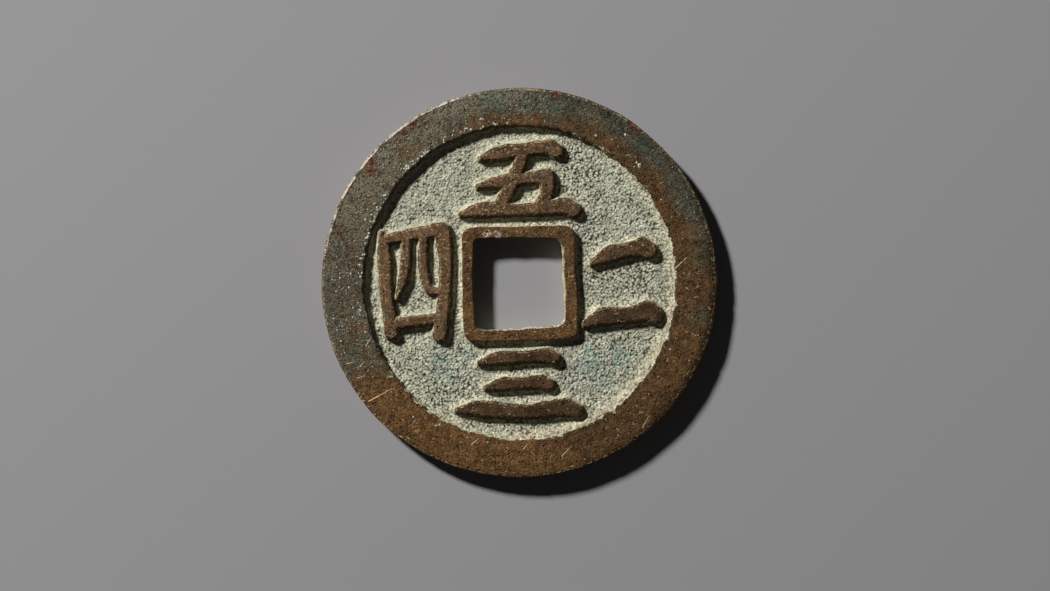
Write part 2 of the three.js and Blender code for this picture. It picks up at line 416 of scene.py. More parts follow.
def closed_profile(*legs):
    """The rows of a closed profile, from legs of share, grow, z, how many steps and which way.

    A leg runs from its own place up to, but not including, the place of the next one, and the last leg
    runs back to the first. It is straight, or a quarter of an ellipse that leaves along the wall or
    along the flat.
    """
    rows = []
    for (*start, steps, way), (*end, _, _) in zip(legs, legs[1:] + legs[:1]):
        start, end = np.array(start), np.array(end)
        along = np.arange(steps)[:, None] / steps
        quick = start + (end - start) * np.sin(along * np.pi / 2)
        slow = end + (start - end) * np.cos(along * np.pi / 2)
        ways = {
            "straight": start * (1 - along) + end * along,
            "along wall": np.column_stack([slow[:, :2], quick[:, 2]]),
            "along flat": np.column_stack([quick[:, :2], slow[:, 2]]),
        }
        rows.append(ways[way])
    return np.concatenate(rows)


def polar(points):
    """The radius and the angle of each point round the Z axis."""
    return np.hypot(points[..., 0], points[..., 1]), np.arctan2(points[..., 1], points[..., 0])


def ring_points(outer, inner, profile, columns):
    """A profile carried round the Z axis: row by column by x, y, z.

    The radius of a row is its share of the way from the outer outline to the inner one, plus its grow.
    """
    angle = np.linspace(0, 2 * np.pi, columns, endpoint=False)
    share, grow, z = (profile[:, k, None] for k in range(3))
    radius = (1 - share) * outer(angle) + share * inner(angle) + grow
    return np.stack([radius * np.cos(angle), radius * np.sin(angle), z + 0 * radius], axis=-1)


def ring_normals(points):
    """Outward normals: the step round the axis crossed with the step along the profile."""
    onwards = np.roll(points, -1, axis=1) - np.roll(points, 1, axis=1)
    upwards = np.roll(points, -1, axis=0) - np.roll(points, 1, axis=0)
    normals = np.cross(onwards, upwards)
    return normals / np.maximum(np.linalg.norm(normals, axis=-1, keepdims=True), 1e-12)


def ring_quads(rows, columns):
    """Faces of a grid that closes both ways, pointing outwards."""
    row, column = np.meshgrid(np.arange(rows), np.arange(columns), indexing="ij")
    next_row, next_column = (row + 1) % rows, (column + 1) % columns
    corners = [
        row * columns + column,
        row * columns + next_column,
        next_row * columns + next_column,
        next_row * columns + column,
    ]
    return np.stack(corners, axis=-1).reshape(-1, 4)


def raised(points, normals, height):
    """The points moved along their normals by the height, and only inwards where the coin rests."""
    height = np.where(points[..., 2] < RESTING, -np.abs(height), height)
    return points + normals * height[..., None]


# Meshes


def new_object(name, data):
    """An object for a mesh, a lamp or a camera, put in the scene."""
    thing = bpy.data.objects.new(name, data)
    bpy.context.scene.collection.objects.link(thing)
    return thing


def new_mesh(name, points, faces, masks):
    """A smooth mesh from points in mm, with an attribute for each named mask, which may be one number."""
    mesh = bpy.data.meshes.new(name)
    mesh.from_pydata((points.reshape(-1, 3) * MM).tolist(), [], faces.tolist())
    for mask, values in masks.items():
        attribute = mesh.attributes.new(mask, "FLOAT", "POINT")
        values = np.clip(np.broadcast_to(values, points.shape[:-1]), 0, 1)
        attribute.data.foreach_set("value", values.astype(np.float32).ravel())
    mesh.shade_smooth()
    return mesh


def ring_mesh(name, points, masks):
    """The mesh of a ring piece, from its points row by column."""
    return new_mesh(name, points, ring_quads(*points.shape[:2]), masks)


def place_piece(mesh, material, slot, *nodes):
    """Puts the mesh in the scene as a piece that rides on the coin and stands for its CAD nodes."""
    piece = new_object(mesh.name, mesh)
    piece.data.materials.append(material)
    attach(piece, "root")
    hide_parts(*nodes)


# The brush's strokes


def curve_through(points, steps):
    """Points and tangents of a centripetal Catmull-Rom curve through the given points.

    Each stretch is a cubic from one point to the next. Its end slopes are the differences of the mean
    speeds on both sides, timed by the square root of the chords. Past the ends, the first and last
    chords are mirrored.
    """
    points = np.array(points, float)
    ends = [2 * points[0] - points[1], *points, 2 * points[-1] - points[-2]]
    places, slopes = [], []
    for before, start, end, after in zip(ends, ends[1:], ends[2:], ends[3:]):
        chords = (start - before, end - start, after - end)
        times = [np.sqrt(np.linalg.norm(chord)) for chord in chords]
        speeds = [chord / time for chord, time in zip(chords, times)]
        slope_in = (speeds[0] - (end - before) / (times[0] + times[1]) + speeds[1]) * times[1]
        slope_out = (speeds[1] - (after - start) / (times[1] + times[2]) + speeds[2]) * times[1]
        t = (np.arange(steps) / steps)[:, None]
        square = -3 * start + 3 * end - 2 * slope_in - slope_out
        cube = 2 * start - 2 * end + slope_in + slope_out
        places.append(start + slope_in * t + square * t**2 + cube * t**3)
        slopes.append(slope_in + 2 * square * t + 3 * cube * t**2)
    places.append(points[-1:])
    slopes.append((slope_in + 2 * square + 3 * cube)[None, :])
    return np.concatenate(places), np.concatenate(slopes)


def move_rings(move, profile):
    """A brush's move as rings of points: one ring for each row of the profile.

    A row is grow, scale and z. Its ring runs up the right side of the path, round the end, down the
    left side and round the start, at (half width + grow) * scale from the path.
    """
    path, slopes = curve_through(move, MOVE_STEPS)
    along = slopes[:, :2] / np.linalg.norm(slopes[:, :2], axis=1, keepdims=True)
    side = np.stack([along[:, 1], -along[:, 0]], axis=1)
    turn = np.pi * np.arange(1, MOVE_STEPS) / MOVE_STEPS
    rings = []
    for grow, scale, z in profile:
        reach = ((path[:, 2] + grow) * scale)[:, None]
        right, left = path[:, :2] + side * reach, path[:, :2] - side * reach
        caps = []
        for at, way in ((-1, 1), (0, -1)):
            sideways = np.cos(turn)[:, None] * side[at] + np.sin(turn)[:, None] * along[at]
            caps.append(path[at, :2] + way * reach[at] * sideways)
        outline = np.concatenate([right, caps[0], left[::-1], caps[1]])
        rings.append(np.column_stack([outline, np.full(len(outline), z)]))
    return np.stack(rings)


def stroke_profile(base, top):
    """Rows of grow, scale and z from under the field, up the leaning wall and over the worn top.

    The wall leans in by 0.2 mm, and its edge is worn to a slope 0.1 mm wide and 0.13 mm high.
    """
    wall = [(0.16 - 0.2 * k / 5, 1.0, base + (top - 0.13 - base) * k / 5) for k in range(6)]
    worn = [(-0.04 - 0.1 * math.sin(a), 1.0, top - 0.13 * (1 - math.sin(a))) for a in (0.4, 0.8, 1.2)]
    worn_top = [(-0.14, scale, top) for scale in (1.0, 0.66, 0.33, 0.0)]
    underside = [(0.16, scale, base) for scale in (0.0, 0.5)]
    return [*underside, *wall, *worn, *worn_top]


def fused_strokes(moves, base, top):
    """The moves of one numeral, fused into a single closed skin by a voxel remesh and smoothed."""
    points, faces, first = [], [], 0
    for move in moves:
        rings = move_rings(move, stroke_profile(base, top))
        rows, columns = rings.shape[:2]
        quads = ring_quads(rows, columns)
        points.append(rings.reshape(-1, 3))
        faces.append(quads[: (rows - 1) * columns] + first)
        first += rows * columns
    rough = bpy.data.meshes.new("rough_strokes")
    rough.from_pydata(np.concatenate(points).tolist(), [], np.concatenate(faces).tolist())
    worker = new_object("rough_strokes", rough)
    remesh = worker.modifiers.new("Fuse", "REMESH")
    remesh.mode = "VOXEL"
    remesh.voxel_size = STROKE_VOXEL
    smooth = worker.modifiers.new("Smooth", "SMOOTH")
    smooth.factor = 0.5
    smooth.iterations = 4
    fused = bpy.data.meshes.new_from_object(worker.evaluated_get(bpy.context.evaluated_depsgraph_get()))
    bpy.data.objects.remove(worker)
    bpy.data.meshes.remove(rough)
    return fused


def mesh_arrays(mesh):
    """Points, normals and faces of a mesh of quads, as arrays."""
    points = np.zeros(len(mesh.vertices) * 3)
    normals = np.zeros(len(mesh.vertices) * 3)
    faces = np.zeros(len(mesh.loops), dtype=np.int64)
    mesh.vertices.foreach_get("co", points)
    mesh.vertex_normals.foreach_get("vector", normals)
    mesh.loops.foreach_get("vertex_index", faces)
    return points.reshape(-1, 3), normals.reshape(-1, 3), faces.reshape(-1, 4)


def distance_to_strokes(points):
    """Distance in the plane from each point to the nearest stroke's outline, below 0 inside it."""
    flat = points[..., :2].reshape(-1, 2)
    nearest = np.full(len(flat), np.inf)
    for moves in NUMERALS.values():
        for move in moves:
            path, _ = curve_through(move, COARSE_MOVE_STEPS)
            for x, y, half_width in path:
                away = np.hypot(flat[:, 0] - x, flat[:, 1] - y) - half_width
                nearest = np.minimum(nearest, away)
    return nearest.reshape(points.shape[:-1])


# Slopes, crust and chance


def sloping(normals, flat, flattest):
    """1 on a slope, and 0 on a wall and where the normal's z has gone from flat to flattest."""
    return ease_between(0.3, 0.7, normals[..., 2]) * fade_between(flat, flattest, normals[..., 2])


def bare_shaded_side(normals):
    """How much crust a wall holds: all of it, but only a fifth where it faces the lower right, away from the
    lamp, so that dark bronze shows there as painted shade.
    """
    return 1 - 0.8 * ease_between(0.1, 0.6, 0.7 * normals[..., 0] - 0.7 * normals[..., 1])


def depth_below_faces(points, top):
    """How far below the nearer of the coin's two faces each point lies."""
    return np.minimum(top - points[..., 2], points[..., 2])


def scattered_on_ring(chance, count, radius, height):
    """Points at random angles round the Z axis, at the given radius and height."""
    angle = chance.uniform(0, 2 * np.pi, count)
    return np.column_stack([radius * np.cos(angle), radius * np.sin(angle), height + 0 * angle])


# The pieces


def outer_rim_mesh(sizes):
    """The broad rim: one profile up the edge, over the top, down the inner wall and back underneath.

    The right side's edge is worn rounder: it is lowered by up to 0.13 mm, by the square of an ease. The
    height added along the normals is slow waves and, near the edge, filing marks, less a gentle fall of
    the top towards the edge, less round pits on the top and nicks in the edge. Crags move the upper
    inner wall in and out.
    """
    top, field_top = millimetres(sizes.thickness), millimetres(WEB_HIGH.z)
    outlines = coin_outlines(sizes)
    profile = closed_profile(
        (0, -0.16, 0, 7, "along flat"),
        (0, 0, 0.3, 8, "straight"),
        (0, 0, top - 0.3, 10, "along wall"),
        (0, -0.2, top, 42, "straight"),
        (1, 0.22, top, 6, "along flat"),
        (1, 0.06, top - 0.14, 8, "straight"),
        (1, -0.04, field_top - 0.1, 2, "straight"),
        (1, 0, millimetres(WEB_LOW.z), 2, "straight"),
        (1, 0.12, 0, 12, "straight"),
    )
    points = ring_points(outlines["edge"], outlines["field"], profile, RING_COLUMNS)
    radius, angle = polar(points)
    field = outlines["field"](angle)
    across = (radius - field) / (outlines["edge"](angle) - field)
    rounding = 0.13 * lobe(angle, -15, 55) * ease_between(0.8, 1.0, across) ** 2
    points[..., 2] -= rounding * ease_between(0.3 * top, top, points[..., 2])
    normals = ring_normals(points)
    chance = np.random.default_rng(31)
    pits = scattered_on_ring(chance, RIM_PITS, chance.uniform(9.7, 12.1, RIM_PITS), top)
    sunk = dents(points, pits, chance.uniform(0.06, 0.17, RIM_PITS), chance.uniform(0.01, 0.03, RIM_PITS))
    edge_radius = millimetres(sizes.coin_width) / 2
    nicks = scattered_on_ring(chance, EDGE_NICKS, edge_radius, chance.uniform(0.7, 1.3, EDGE_NICKS))
    sunk += dents(points, nicks, chance.uniform(0.1, 0.3, EDGE_NICKS), chance.uniform(0.02, 0.06, EDGE_NICKS))
    waves = 0.012 * layered_noise(points, 2.6, 3, 41) + 0.003 * smooth_noise(points, 0.2, 42)
    filing = 0.012 * smooth_noise(points * [1, 1, 0.3], 0.22, 43)
    fall = 0.045 * ease_between(0.5, 0.9, normals[..., 2]) * ease_between(0.55, 1.0, across) ** 2
    height = waves + filing * ease_between(0.9, 1.0, across) - sunk - fall
    crags = 0.055 * layered_noise(points, 0.5, 4, 45) + 0.035 * smooth_noise(points, 0.25, 47)
    crags = np.clip(crags, -0.06, 0.1)
    crags *= fade_between(0.03, 0.13, across) * ease_between(0.3, 0.6, points[..., 2])
    points = raised(points, normals, height)
    points[..., :2] -= np.stack([np.cos(angle), np.sin(angle)], axis=-1) * crags[..., None]
    return ring_mesh("worn_outer_rim", points, rim_masks(points, normals, angle, across, top))


def rim_masks(points, normals, angle, across, top):
    """What covers the rim: crust on its inner wall, kept off where the wall faces away from the lamp as
    painted shade, film, tarnish with painted shade along the edges, a painted highlight on the edge's side
    towards the lamp, rubbed edges, stains and specks.
    """
    crusted = depth_below_faces(points, top) + 0.14 * layered_noise(points, 0.5, 4, 44)
    crusted += (0.05 + 0.05 * lobe(angle, -48, 50)) * fade_between(0.0, 0.14, across)
    edge = ease_between(0.86, 0.96, across) * sloping(normals, 0.93, 0.99)
    # Painted highlight: the pale edge colour only on the side towards the lamp.
    lit_side = 0.55 * lobe(angle, 142, 46) + 0.45 * lobe(angle, 132, 28)
    broken = np.clip(0.62 + layered_noise(points, 0.9, 4, 46), 0, 1)
    return {
        # Painted shade: the inner wall keeps little crust where it faces away from the lamp, so its dark
        # bronze shows.
        "crust": ease_between(0.06, 0.16, crusted) * fade_between(0.2, 0.35, across) * bare_shaded_side(normals),
        "film": rim_film(points, angle, across),
        "tarnish_and_shade": rim_tarnish_and_shade(points, angle, across),
        "highlight_and_bare_metal": edge * lit_side * broken,
        "rubbed_and_highlight": edge * (1 - lit_side) * 0.35,
        "red": patch_mask(points, RED_PATCHES),
        "green": patch_mask(points, GREEN_PATCHES),
        "specks": np.maximum.reduce([
            patch_mask(points, SPECKLED_PATCHES),
            0.75 * fade_between(0.05, 0.16, across) * lobe(angle, 145, 50),
            0.35 * lobe(angle, 138, 46),
            0.35 * lobe(angle, 68, 48) * ease_between(0.3, 0.7, across),
        ]),
    }


def rim_film(points, angle, across):
    """Where the thin film lies on the rim: lobes round the coin, most of them stronger near its edge."""
    outer_half = ease_between(0.25, 0.7, across)
    outer_strip = ease_between(0.55, 0.95, across)
    film = np.maximum.reduce([
        lobe(angle, 143, 46) * (0.62 + 0.38 * across),
        lobe(angle, 190, 24) * 0.75,
        lobe(angle, 92, 30) * (0.2 + 1.2 * outer_half),
        lobe(angle, 48, 40) * outer_half * 0.9,
        lobe(angle, 3, 22) * outer_strip * 0.1,
    ])
    return film * (1 + 0.65 * layered_noise(points, 1.1, 3, 51))


def rim_tarnish_and_shade(points, angle, across):
    """Where the rim is darker: its top, upper right, right, lower right and left, and along its edges. The
    darkening at the right edge, along the edge away from the lamp's side and in thin lines at the inner edge,
    upper right and lower left, is painted shade.
    """
    lit_line = ease_between(0.88, 0.92, across) * fade_between(0.94, 0.96, across)
    tarnish_and_shade = np.maximum.reduce([
        lobe(angle, 45, 46) * (0.65 + 0.35 * ease_between(0.4, 0.9, across)),
        lobe(angle, 95, 30) * 0.35 * fade_between(0.4, 0.7, across),
        # Painted shade: the rounded right edge, which faces away from the lamp, is darkened.
        lobe(angle, 0, 26) * (0.6 + 0.4 * ease_between(0.7, 0.92, across)),
        lobe(angle, -45, 36) * (0.6 + 0.35 * fade_between(0.05, 0.25, across)),
        lobe(angle, 188, 30) * 0.5,
        # Painted shade: a dark band along the edge, all round but on the side towards the lamp.
        0.75 * ease_between(0.86, 0.97, across) * (1 - lobe(angle, 145, 55)),
        0.9 * lobe(angle, 145, 50) * lit_line,
        # Painted shade: thin dark lines along the inner edge where the steep wall is in shadow.
        0.9 * (lobe(angle, 52, 34) + lobe(angle, 215, 28)) * fade_between(0.02, 0.07, across),
    ])
    return tarnish_and_shade * (1 + 0.5 * layered_noise(points, 1.4, 3, 52))


def inner_rim_mesh(sizes):
    """The border of the hole: a profile up its outer wall, over the narrow top and down the hole.

    The height added along the normals is slow waves, and coarser noise below the top inside the hole.
    """
    top, bottom = millimetres(BORDER_HIGH.z), millimetres(BORDER_LOW.z)
    field_top = millimetres(WEB_HIGH.z)
    outlines = coin_outlines(sizes)
    profile = closed_profile(
        (0, -0.08, bottom, 2, "straight"),
        (0, 0, 0.15, 3, "straight"),
        (0, 0.03, field_top - 0.1, 9, "straight"),
        (0, 0.03, top - 0.08, 6, "along wall"),
        (0, -0.06, top, 10, "straight"),
        (1, 0.09, top, 6, "along flat"),
        (1, 0, top - 0.12, 18, "straight"),
        (1, 0, bottom + 0.1, 4, "along wall"),
        (1, 0.1, bottom, 6, "straight"),
    )
    points = ring_points(outlines["border"], outlines["hole"], profile, RING_COLUMNS)
    normals = ring_normals(points)
    _, angle = polar(points)
    share = profile[:, :1]
    below_edge = ease_between(0.02, 0.15, top - points[..., 2])
    rough_hole = 0.03 * ease_between(0.1, 0.6, share) * below_edge * layered_noise(points, 0.45, 3, 63)
    waves = 0.014 * layered_noise(points, 1.1, 3, 61) + 0.003 * smooth_noise(points, 0.17, 62)
    points = raised(points, normals, waves + rough_hole)
    depth = depth_below_faces(points, top)
    in_hole = ease_between(0.15, 0.4, share)
    near_top = fade_between(0.1, 0.7, top - points[..., 2])
    crusted_wall = ease_between(0.05, 0.14, depth + 0.08 * layered_noise(points, 0.4, 3, 64)) * (1 - in_hole)
    # Painted highlight: the hole's top edge where it faces the lamp, at the lower right.
    hole_edge = in_hole * sloping(normals, 0.97, 1.0) * lobe(angle, -50, 80)
    masks = {
        # Painted shade: the walls keep little crust where they face away from the lamp.
        "crust": np.maximum(crusted_wall, in_hole * ease_between(0.03, 0.1, depth)) * bare_shaded_side(normals),
        "film": 0.3 * layered_noise(points, 1.2, 2, 65),
        "tarnish_and_shade": 0.27 - 0.3 * lobe(angle, -45, 75) + 0.4 * layered_noise(points, 1.6, 2, 66),
        "highlight_and_bare_metal": np.maximum(0.8 * hole_edge, 0.75 * patch_mask(points, BRIGHT_BORDER_PATCHES) * near_top),
        "yellow": patch_mask(points, YELLOW_PATCHES) * ease_between(0.9, 1.0, share) * near_top,
        "specks": 0.15,
    }
    return ring_mesh("worn_border", points, masks)


def field_crust_mesh(sizes):
    """The crust of the sunken field: a ring sheet whose top height adds grains and piles at the walls.

    The height is the field's level, plus slow waves, plus grains of noise that fade near the walls,
    plus a pile that falls off with the distance from the nearest wall. A broader pile leans on the
    rim's wall at the lower right, where the thin mask lets the bronze show.
    """
    field_top = millimetres(WEB_HIGH.z)
    outlines = coin_outlines(sizes)
    profile = closed_profile(
        (0, 0.12, field_top, FIELD_ROWS, "straight"),
        (1, -0.12, field_top, 1, "straight"),
        (1, -0.12, field_top - 0.12, 1, "straight"),
        (0, 0.12, field_top - 0.12, 1, "straight"),
    )
    points = ring_points(outlines["field"], outlines["border"], profile, RING_COLUMNS)
    radius, angle = polar(points)
    from_rim = outlines["field"](angle) - radius
    wall = np.minimum.reduce([from_rim, radius - outlines["border"](angle), distance_to_strokes(points)])
    wall = np.maximum(wall + 0.05 * smooth_noise(points, 0.4, 70), 0)
    leaning = lobe(angle, -48, 50)
    open_field = ease_between(0.08, 0.5, wall + 0.22 * layered_noise(points, 0.7, 2, 71))
    open_field *= 1 - leaning * fade_between(0.3, 0.75, from_rim)
    graininess = 0.35 + 0.65 * open_field
    grain = millimetres(sizes.grain)
    grains = sum(
        share * smooth_noise(points, size * grain, 72 + size)
        for size, share in ((1, 0.75), (2, 0.6), (4, 0.5))
    )
    pile = millimetres(sizes.crust_pile) * (1 + 0.5 * smooth_noise(points, 0.9, 74))
    height = 0.02 * layered_noise(points, 1.6, 2, 75)
    height += millimetres(sizes.grain_depth) * grains * graininess
    height += pile * falling_off(wall, 0.18, 1.4) + 0.2 * leaning * falling_off(from_rim, 0.3, 1.6)
    height[FIELD_ROWS:] = 0
    points[..., 2] += height
    masks = {
        "cream": 1 - open_field,
        # The hollows between the grains get the dark pit colour: partly dark mineral, partly painted shade.
        "hollow": ease_between(0.5, 1.1, -grains) * graininess,
        "pitted": 1 - lobe(angle, 135, 60) - 0.5 * lobe(angle, -45, 40),
        "thin": lobe(angle, -48, 70) * falling_off(from_rim, 0.4, 2),
        "teal": patch_mask(points, TEAL_PATCHES),
    }
    return ring_mesh("crusted_field", points, masks)


def reverse_web_mesh(sizes):
    """The web under the crust: a ring sheet whose underside is the plain, lightly crusted reverse.

    The depth is the web's level less slow waves and grains, less a low pile of crust at the walls.
    """
    low, high = millimetres(WEB_LOW.z), millimetres(WEB_HIGH.z) - 0.08
    outlines = coin_outlines(sizes)
    profile = closed_profile(
        (1, -0.06, low, REVERSE_ROWS, "straight"),
        (0, 0.06, low, 1, "straight"),
        (0, 0.06, high, 2, "straight"),
        (1, -0.06, high, 1, "straight"),
    )
    points = ring_points(outlines["field"], outlines["border"], profile, REVERSE_COLUMNS)
    radius, angle = polar(points)
    wall = np.minimum(outlines["field"](angle) - radius, radius - outlines["border"](angle))
    wall = np.maximum(wall + 0.1 * smooth_noise(points, 0.5, 80), 0)
    grains = smooth_noise(points, 0.17, 82) + 0.6 * smooth_noise(points, 0.4, 85)
    height = 0.025 * layered_noise(points, 1.5, 3, 81) + 0.02 * grains + 0.08 * falling_off(wall, 0.25, 1.4)
    height[REVERSE_ROWS:] = 0
    points[..., 2] -= height
    near_wall = fade_between(0.1, 0.6, wall)
    masks = {
        "cream": near_wall + 0.15 + 0.6 * layered_noise(points, 2.6, 3, 83),
        "hollow": 0.6 * ease_between(0.45, 1.1, -grains) * (1 - 0.8 * near_wall),
        "pitted": 0.5,
    }
    return ring_mesh("crusted_reverse", points, masks)


def numeral_mesh(name, moves, seed):
    """One numeral: its fused strokes, pitted and uneven, with crust masked up to its worn top.

    The height added along the normals is slow waves, and rough noise on the walls, less pits of noise.
    """
    base, top = millimetres(WEB_HIGH.z) - 0.08, millimetres(NUMERAL_HIGH.z)
    fused = fused_strokes(moves, base, top)
    points, normals, faces = mesh_arrays(fused)
    bpy.data.meshes.remove(fused)
    height = 0.012 * layered_noise(points, 0.9, 3, seed) + 0.003 * smooth_noise(points, 0.16, seed + 5)
    pits = ease_between(0.5, 0.8, smooth_noise(points, 0.3, seed + 6))
    walls = fade_between(0.5, 0.9, normals[:, 2])
    height += walls * 0.022 * layered_noise(points, 0.5, 2, seed + 7) - 0.02 * pits
    points = raised(points, normals, height)
    crusted = top - points[:, 2] + 0.1 * layered_noise(points, 0.7, 4, seed + 8)
    dark_side = ease_between(-5, 9, 0.6 * points[:, 0] - 0.65 * points[:, 1] + 0.5 * np.abs(points[:, 1]))
    masks = {
        # Painted shade: walls facing away from the lamp keep little crust, so their dark tarnished bronze
        # shows.
        "crust": ease_between(0.08, 0.2, crusted) * bare_shaded_side(normals),
        # Rubbed metal on the worn slopes of the stroke edges, all round, partly a painted highlight.
        "rubbed_and_highlight": 0.3 * sloping(normals, 0.9, 0.98) + 0.1 * (1 - dark_side),
        "film": 0.1 * (1 - dark_side) + 0.18 * layered_noise(points, 1.0, 2, seed + 9),
        "tarnish_and_shade": walls + 0.03 + 1.2 * dark_side + 0.3 * layered_noise(points, 1.3, 2, seed + 10),
        "specks": 0.12 + 0.45 * layered_noise(points, 1.2, 2, seed + 11),
    }
    return new_mesh(name, points, faces, masks)


def speck_mesh(sizes):
    """Small mineral specks stuck to the rim: flat six-sided lumps, scattered at random.

    Some lie in a swarm at the left, some anywhere, and crumbs of crust line the rim's inner edge. A lump
    is three rings of six points, wobbling in radius, closed by a fan to a point below and one above. It
    stands out by 0.012 mm plus 0.12 of its size, and reaches down twice as far.
    """
    top = millimetres(sizes.thickness)
    chance = np.random.default_rng(91)
    crumb_angle = np.radians(chance.normal(140, 24, EDGE_CRUMBS))
    crumb_radius = coin_outlines(sizes)["field"](crumb_angle) + 0.18 + chance.exponential(0.17, EDGE_CRUMBS)
    swarm_angle = np.radians(chance.normal(188, 14, SWARM_SPECKS))
    angle = np.concatenate([crumb_angle, swarm_angle, chance.uniform(0, 2 * np.pi, LONE_SPECKS)])
    radius = np.concatenate([crumb_radius, chance.uniform(9.85, 11.7, SWARM_SPECKS + LONE_SPECKS)])
    size = 0.025 + 0.065 * chance.uniform(0, 1, len(angle)) ** 2
    middles = np.column_stack([radius * np.cos(angle), radius * np.sin(angle)])
    middles[-1], size[-1] = LARGEST_SPECK[:2], LARGEST_SPECK[2]
    turn = np.arange(SPECK_SIDES) * 2 * np.pi / SPECK_SIDES
    wobble = 1 + 0.45 * chance.uniform(-1, 1, (len(size), SPECK_SIDES))
    around = np.column_stack([np.cos(turn), np.sin(turn)]) * wobble[..., None] * size[:, None, None]
    height = 0.012 + 0.12 * size
    counts = [SPECK_SIDES, SPECK_SIDES, SPECK_SIDES, 1, 1]
    spread, lift = np.repeat([[0.9, 1.0, 0.6, 0.0, 0.0], [-2.0, 0.2, 0.9, -2.0, 1.0]], counts, axis=1)
    flat = middles[:, None] + spread[:, None] * around[:, np.arange(len(spread)) % SPECK_SIDES]
    points = np.concatenate([flat, (top + lift * height[:, None])[..., None]], axis=-1)
    step = np.arange(SPECK_SIDES)
    after = (step + 1) % SPECK_SIDES
    end = 3 * SPECK_SIDES + 0 * step
    lump = [(end, after, step), (2 * SPECK_SIDES + step, 2 * SPECK_SIDES + after, end + 1)]
    for low in (0, SPECK_SIDES):
        high = low + SPECK_SIDES
        lump += [(low + step, low + after, high + after), (low + step, high + after, high + step)]
    lump = np.concatenate([np.column_stack(corners) for corners in lump])
    faces = lump + len(spread) * np.arange(len(size))[:, None, None]
    return new_mesh("mineral_specks", points, faces.reshape(-1, 3), {})


# Node trees. In the editor their nodes stand in rows of eight, this far apart.

NODES_IN_A_ROW = 8
NODE_STEP_X = 220
NODE_STEP_Y = -300


class NodeSheet:
    """A node tree being filled. Each call of add makes one node and sets or joins its inputs."""

    def __init__(self, tree):
        self.tree = tree

    def add(self, kind, inputs=None, **settings):
        node = self.tree.nodes.new(kind)
        row, column = divmod(len(self.tree.nodes), NODES_IN_A_ROW)
        node.location = (NODE_STEP_X * column, NODE_STEP_Y * row)
        for setting, value in settings.items():
            setattr(node, setting, value)
        for socket, value in (inputs or {}).items():
            if isinstance(value, bpy.types.NodeSocket):
                self.tree.links.new(value, node.inputs[socket])
            else:
                node.inputs[socket].default_value = value
        return node

    def maths(self, operation, a, b, c=0.0, clamp=False):
        inputs = {0: a, 1: b, 2: c}
        return self.add("ShaderNodeMath", inputs, operation=operation, use_clamp=clamp).outputs[0]

    def times(self, a, b, plus=None, clamp=False):
        """a times b, plus a third value where there is one."""
        if plus is None:
            return self.maths("MULTIPLY", a, b, clamp=clamp)
        return self.maths("MULTIPLY_ADD", a, b, plus, clamp)

    def larger(self, a, b, clamp=False):
        return self.maths("MAXIMUM", a, b, clamp=clamp)

    def vector(self, operation, a, b, output=0):
        return self.add("ShaderNodeVectorMath", {0: a, 1: b}, operation=operation).outputs[output]

    def scaled(self, vector, scale):
        """The vector, or a colour, times a number."""
        return self.add("ShaderNodeVectorMath", {0: vector, "Scale": scale}, operation="SCALE").outputs[0]

    def ease(self, value, low, high, start=0.0, end=1.0):
        """start where value is below low and end where it is above high, eased between them."""
        inputs = {"Value": value, "From Min": low, "From Max": high, "To Min": start, "To Max": end}
        return self.add("ShaderNodeMapRange", inputs, interpolation_type="SMOOTHSTEP").outputs[0]

    def blend(self, share, under, over):
        """The colour under, covered by the colour over by that share."""
        return self.add("ShaderNodeMix", {0: share, 6: under, 7: over}, data_type="RGBA").outputs[2]

    def noise(self, place, size, detail=2.0):
        """Cloudy noise from 0 to 1 whose lumps have that size in mm."""
        inputs = {"Vector": place, "Scale": 1.0 / size, "Detail": detail, "Roughness": 0.6}
        return self.add("ShaderNodeTexNoise", inputs).outputs[0]

    def clouds(self, place, size, low, high, start=0.0, end=1.0, detail=2.0):
        """Cloudy noise, eased from start where it is low to end where it is high."""
        return self.ease(self.noise(place, size, detail), low, high, start, end)

    def dots(self, place, spacing, width, share):
        """Round dots with soft edges, in that share of the cells of a random pattern."""
        cells = self.add("ShaderNodeTexVoronoi", {"Vector": place, "Scale": 1.0 / spacing})
        drawn = self.add("ShaderNodeSeparateColor", {0: cells.outputs["Color"]}).outputs[0]
        dot = self.ease(cells.outputs["Distance"], 0.25 * width, width, 1.0, 0.0)
        return self.times(dot, self.maths("LESS_THAN", drawn, share))

    def stretched(self, place, turn, squeeze):
        """The place turned about Z and squeezed along one axis, so that a pattern on it is drawn out."""
        turned = self.add("ShaderNodeVectorRotate", {"Vector": place, "Angle": turn}, rotation_type="Z_AXIS")
        return self.vector("MULTIPLY", turned.outputs[0], (1.0, squeeze, 1.0))

    def mask(self, name):
        """A mask that the piece's mesh carries."""
        return self.add("ShaderNodeAttribute", attribute_name=name, attribute_type="GEOMETRY").outputs["Fac"]

    def millimetre_place(self):
        """The place of a point on the piece, in mm."""
        return self.scaled(self.add("ShaderNodeTexCoord").outputs["Object"], 1 / MM)

    def group(self, name, inputs):
        """The outputs of a shared node group, placed here with these inputs."""
        tree = bpy.data.node_groups.get(name) or GROUP_MAKERS[name]()
        return self.add("ShaderNodeGroup", inputs, node_tree=tree).outputs


KINDS = {"colour": "NodeSocketColor", "number": "NodeSocketFloat", "vector": "NodeSocketVector"}


def new_group(name, inputs, outputs):
    """An empty shader node group with named sockets: its sheet and its inputs."""
    tree = bpy.data.node_groups.new(name, "ShaderNodeTree")
    for direction, sockets in (("INPUT", inputs), ("OUTPUT", outputs)):
        for socket, kind in sockets.items():
            tree.interface.new_socket(socket, in_out=direction, socket_type=KINDS[kind])
    sheet = NodeSheet(tree)
    return sheet, sheet.add("NodeGroupInput").outputs


def finish_group(sheet, results):
    sheet.add("NodeGroupOutput", results)
    return sheet.tree


